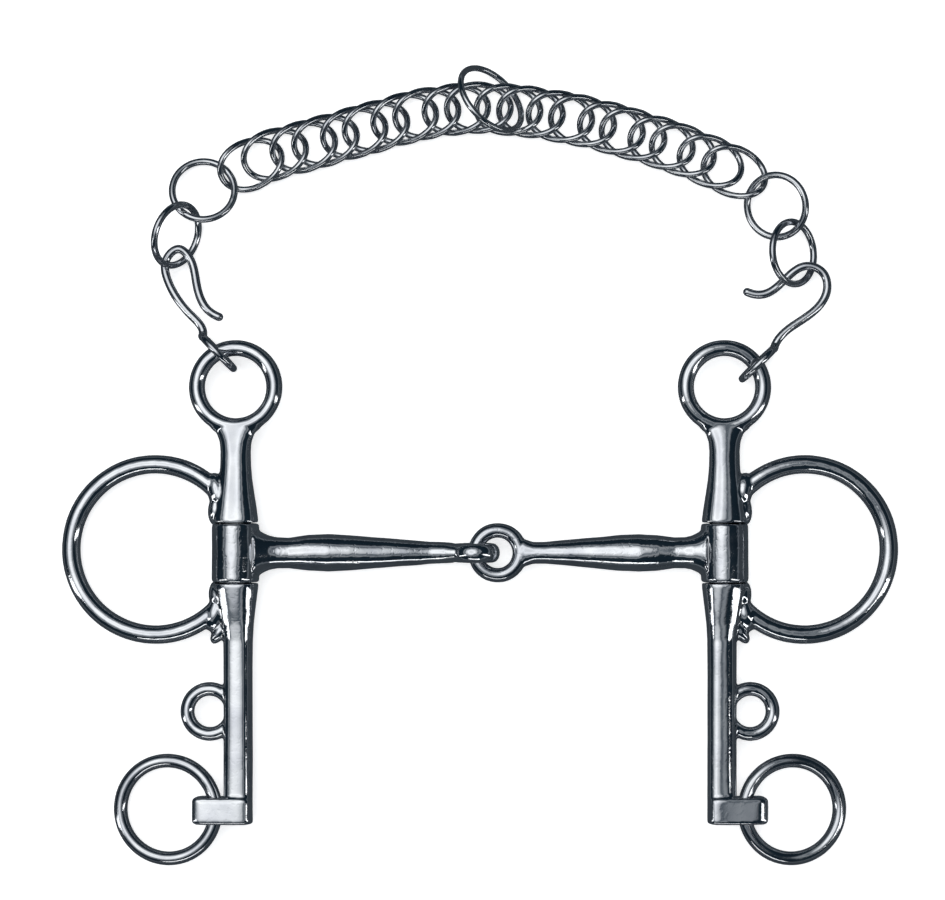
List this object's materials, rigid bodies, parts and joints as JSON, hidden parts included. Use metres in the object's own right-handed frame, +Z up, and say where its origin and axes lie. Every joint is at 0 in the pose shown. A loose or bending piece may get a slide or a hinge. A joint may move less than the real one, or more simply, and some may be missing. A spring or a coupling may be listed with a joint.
{
  "type": "curb bit",
  "caption": "Jointed short-cheek curb bit with fixed snaffle rings, loose curb rings, S hooks and a double-link curb chain with a fly link.",
  "frame": {"origin": "middle of the mouthpiece, midway between the two sleeves, on the sleeves' centre height", "axes": "+X to the right-hand cheek of the bit as it lies, +Y to the upper eyes and the curb chain, +Z up off the surface it lies on"},
  "size_m": [0.2666, 0.2546, 0.0212],
  "materials": {
    "cast_steel": "polished cast stainless steel",
    "wire_steel": "polished stainless steel wire"
  },
  "bodies": {
    "left_cannon": {"left_cannon": "cast_steel"},
    "right_cannon": {"right_cannon": "cast_steel"},
    "left_cheek": {"left_cheek": "cast_steel"},
    "right_cheek": {"right_cheek": "cast_steel"},
    "left_curb_ring": {"left_curb_ring": "wire_steel"},
    "right_curb_ring": {"right_curb_ring": "wire_steel"},
    "left_curb_hook": {"left_curb_hook": "wire_steel"},
    "right_curb_hook": {"right_curb_hook": "wire_steel"},
    "left_outer_ring": {"left_outer_ring": "wire_steel"},
    "left_inner_ring": {"left_inner_ring": "wire_steel"},
    "chain_link_01": {"chain_link_01": "wire_steel"},
    "chain_link_02": {"chain_link_02": "wire_steel"},
    "chain_link_03": {"chain_link_03": "wire_steel"},
    "chain_link_04": {"chain_link_04": "wire_steel"},
    "chain_link_05": {"chain_link_05": "wire_steel"},
    "chain_link_06": {"chain_link_06": "wire_steel"},
    "chain_link_07": {"chain_link_07": "wire_steel"},
    "chain_link_08": {"chain_link_08": "wire_steel"},
    "chain_link_09": {"chain_link_09": "wire_steel"},
    "chain_link_10": {"chain_link_10": "wire_steel"},
    "chain_link_11": {"chain_link_11": "wire_steel"},
    "chain_link_12": {"chain_link_12": "wire_steel"},
    "chain_link_13": {"chain_link_13": "wire_steel"},
    "chain_link_14": {"chain_link_14": "wire_steel"},
    "chain_link_15": {"chain_link_15": "wire_steel"},
    "chain_link_16": {"chain_link_16": "wire_steel"},
    "chain_link_17": {"chain_link_17": "wire_steel"},
    "chain_link_18": {"chain_link_18": "wire_steel"},
    "chain_link_19": {"chain_link_19": "wire_steel"},
    "chain_link_20": {"chain_link_20": "wire_steel"},
    "right_inner_ring": {"right_inner_ring": "wire_steel"},
    "right_outer_ring": {"right_outer_ring": "wire_steel"},
    "fly_link": {"fly_link": "wire_steel"}
  },
  "joints": [
    {"name": "mouthpiece_fold", "type": "hinge", "parent": "left_cannon", "child": "right_cannon", "pos_m": [-0.0015, 0, 0], "axis": [0, 1, 0], "range_deg": [-13, 0]},
    {"name": "left_cheek_swivel", "type": "hinge", "parent": "left_cannon", "child": "left_cheek", "pos_m": [-0.0776, 0, 0], "axis": [0, -1, 0], "range_deg": [-20, 0]},
    {"name": "right_cheek_swivel", "type": "hinge", "parent": "right_cannon", "child": "right_cheek", "pos_m": [0.0776, 0, 0], "axis": [0, 1, 0], "range_deg": [-6, 0]},
    {"name": "curb_chain_swing", "type": "hinge", "parent": "left_cannon", "child": "left_curb_hook", "pos_m": [-0.0833, 0.0637, -0.0005], "axis": [0.9998, -0.0204, 0], "range_deg": [0, 55]},
    {"name": "left_curb_ring_swing", "type": "hinge", "parent": "left_cheek", "child": "left_curb_ring", "pos_m": [-0.08397, -0.0818, -0.00057], "axis": [0, 1, 0], "range_deg": [0, 75]},
    {"name": "right_curb_ring_swing", "type": "hinge", "parent": "right_cheek", "child": "right_curb_ring", "pos_m": [0.08397, -0.0818, -0.00057], "axis": [0, 1, 0], "range_deg": [-75, 0]},
    {"name": "curb_chain_lift", "type": "hinge", "parent": "left_curb_hook", "child": "left_outer_ring", "pos_m": [-0.091, 0.095, 0.003], "axis": [0, 1, 0], "range_deg": [-6.51, 0]},
    {"name": "right_curb_hook_nod", "type": "hinge", "parent": "left_outer_ring", "child": "right_curb_hook", "pos_m": [0.1057, 0.0904, -0.0044], "axis": [0, 1, 0], "range_deg": [-5.21, 0]},
    {"name": "left_inner_ring_turn", "type": "hinge", "parent": "left_outer_ring", "child": "left_inner_ring", "pos_m": [-0.0881, 0.1153, -0.0034], "axis": [0.0323, 0.3073, 0.9511], "continuous": true},
    {"name": "right_inner_ring_turn", "type": "hinge", "parent": "left_outer_ring", "child": "right_inner_ring", "pos_m": [0.0942, 0.1102, -0.0018], "axis": [-0.4293, -0.1478, 0.891], "continuous": true},
    {"name": "right_outer_ring_turn", "type": "hinge", "parent": "left_outer_ring", "child": "right_outer_ring", "pos_m": [0.0994, 0.0952, 0], "axis": [0.693, 0.0485, 0.7193], "continuous": true},
    {"name": "chain_link_01_play", "type": "hinge", "parent": "left_outer_ring", "child": "chain_link_01", "pos_m": [-0.07301, 0.12373, -0.00485], "axis": [0.9205, 0.3907, 0], "range_deg": [-1.2, 1.2]},
    {"name": "chain_link_02_play", "type": "hinge", "parent": "left_outer_ring", "child": "chain_link_02", "pos_m": [-0.06537, 0.12697, -0.00485], "axis": [0.9455, 0.3256, 0], "range_deg": [-1.2, 1.2]},
    {"name": "chain_link_03_play", "type": "hinge", "parent": "left_outer_ring", "child": "chain_link_03", "pos_m": [-0.05619, 0.12943, -0.00485], "axis": [0.9648, 0.263, 0], "range_deg": [-1.2, 1.2]},
    {"name": "chain_link_04_play", "type": "hinge", "parent": "left_outer_ring", "child": "chain_link_04", "pos_m": [-0.04925, 0.13135, -0.00485], "axis": [0.9636, 0.2672, 0], "range_deg": [-1.2, 1.2]},
    {"name": "chain_link_05_play", "type": "hinge", "parent": "left_outer_ring", "child": "chain_link_05", "pos_m": [-0.0401, 0.13389, -0.00485], "axis": [0.9636, 0.2672, 0], "range_deg": [-1.2, 1.2]},
    {"name": "chain_link_06_play", "type": "hinge", "parent": "left_outer_ring", "child": "chain_link_06", "pos_m": [-0.03316, 0.13582, -0.00485], "axis": [0.9636, 0.2672, 0], "range_deg": [-1.2, 1.2]},
    {"name": "chain_link_07_play", "type": "hinge", "parent": "left_outer_ring", "child": "chain_link_07", "pos_m": [-0.02401, 0.13836, -0.00485], "axis": [0.9692, 0.2462, 0], "range_deg": [-1.2, 1.2]},
    {"name": "chain_link_08_play", "type": "hinge", "parent": "left_outer_ring", "child": "chain_link_08", "pos_m": [-0.01699, 0.13998, -0.00485], "axis": [0.9833, 0.1822, 0], "range_deg": [-1.2, 1.2]},
    {"name": "chain_link_09_play", "type": "hinge", "parent": "left_outer_ring", "child": "chain_link_09", "pos_m": [-0.00758, 0.1413, -0.00485], "axis": [0.9945, 0.1045, 0], "range_deg": [-1.2, 1.2]},
    {"name": "chain_link_10_play", "type": "hinge", "parent": "left_outer_ring", "child": "chain_link_10", "pos_m": [-0.0004, 0.1418, -0.00485], "axis": [1, 0, 0], "range_deg": [-1.2, 1.2]},
    {"name": "chain_link_11_play", "type": "hinge", "parent": "left_outer_ring", "child": "chain_link_11", "pos_m": [0.00908, 0.14114, -0.00485], "axis": [0.9962, -0.0872, 0], "range_deg": [-1.2, 1.2]},
    {"name": "chain_link_12_play", "type": "hinge", "parent": "left_outer_ring", "child": "chain_link_12", "pos_m": [0.01624, 0.14038, -0.00485], "axis": [0.9914, -0.1305, 0], "range_deg": [-1.2, 1.2]},
    {"name": "chain_link_13_play", "type": "hinge", "parent": "left_outer_ring", "child": "chain_link_13", "pos_m": [0.02562, 0.1389, -0.00485], "axis": [0.9848, -0.1737, 0], "range_deg": [-1.2, 1.2]},
    {"name": "chain_link_14_play", "type": "hinge", "parent": "left_outer_ring", "child": "chain_link_14", "pos_m": [0.03269, 0.13752, -0.00485], "axis": [0.9763, -0.2164, 0], "range_deg": [-1.2, 1.2]},
    {"name": "chain_link_15_play", "type": "hinge", "parent": "left_outer_ring", "child": "chain_link_15", "pos_m": [0.04191, 0.13523, -0.00485], "axis": [0.9659, -0.2588, 0], "range_deg": [-1.2, 1.2]},
    {"name": "chain_link_16_play", "type": "hinge", "parent": "left_outer_ring", "child": "chain_link_16", "pos_m": [0.04883, 0.13324, -0.00485], "axis": [0.9588, -0.284, 0], "range_deg": [-1.2, 1.2]},
    {"name": "chain_link_17_play", "type": "hinge", "parent": "left_outer_ring", "child": "chain_link_17", "pos_m": [0.05791, 0.13046, -0.00485], "axis": [0.9511, -0.309, 0], "range_deg": [-1.2, 1.2]},
    {"name": "chain_link_18_play", "type": "hinge", "parent": "left_outer_ring", "child": "chain_link_18", "pos_m": [0.06472, 0.12812, -0.00485], "axis": [0.9367, -0.3502, 0], "range_deg": [-1.2, 1.2]},
    {"name": "chain_link_19_play", "type": "hinge", "parent": "left_outer_ring", "child": "chain_link_19", "pos_m": [0.07353, 0.12456, -0.00485], "axis": [0.9239, -0.3827, 0], "range_deg": [-1.2, 1.2]},
    {"name": "chain_link_20_play", "type": "hinge", "parent": "left_outer_ring", "child": "chain_link_20", "pos_m": [0.08117, 0.12132, -0.00485], "axis": [0.9205, -0.3907, 0], "range_deg": [-1.2, 1.2]},
    {"name": "fly_link_turn", "type": "hinge", "parent": "left_outer_ring", "child": "fly_link", "pos_m": [0.0035, 0.1438, 0.0024], "axis": [0.6027, 0.524, 0.6018], "continuous": true}
  ],
  "couplings": [
    {"joint": "curb_chain_lift", "follows": "mouthpiece_fold", "ratio": 0.5},
    {"joint": "right_curb_hook_nod", "follows": "mouthpiece_fold", "ratio": 0.4}
  ]
}
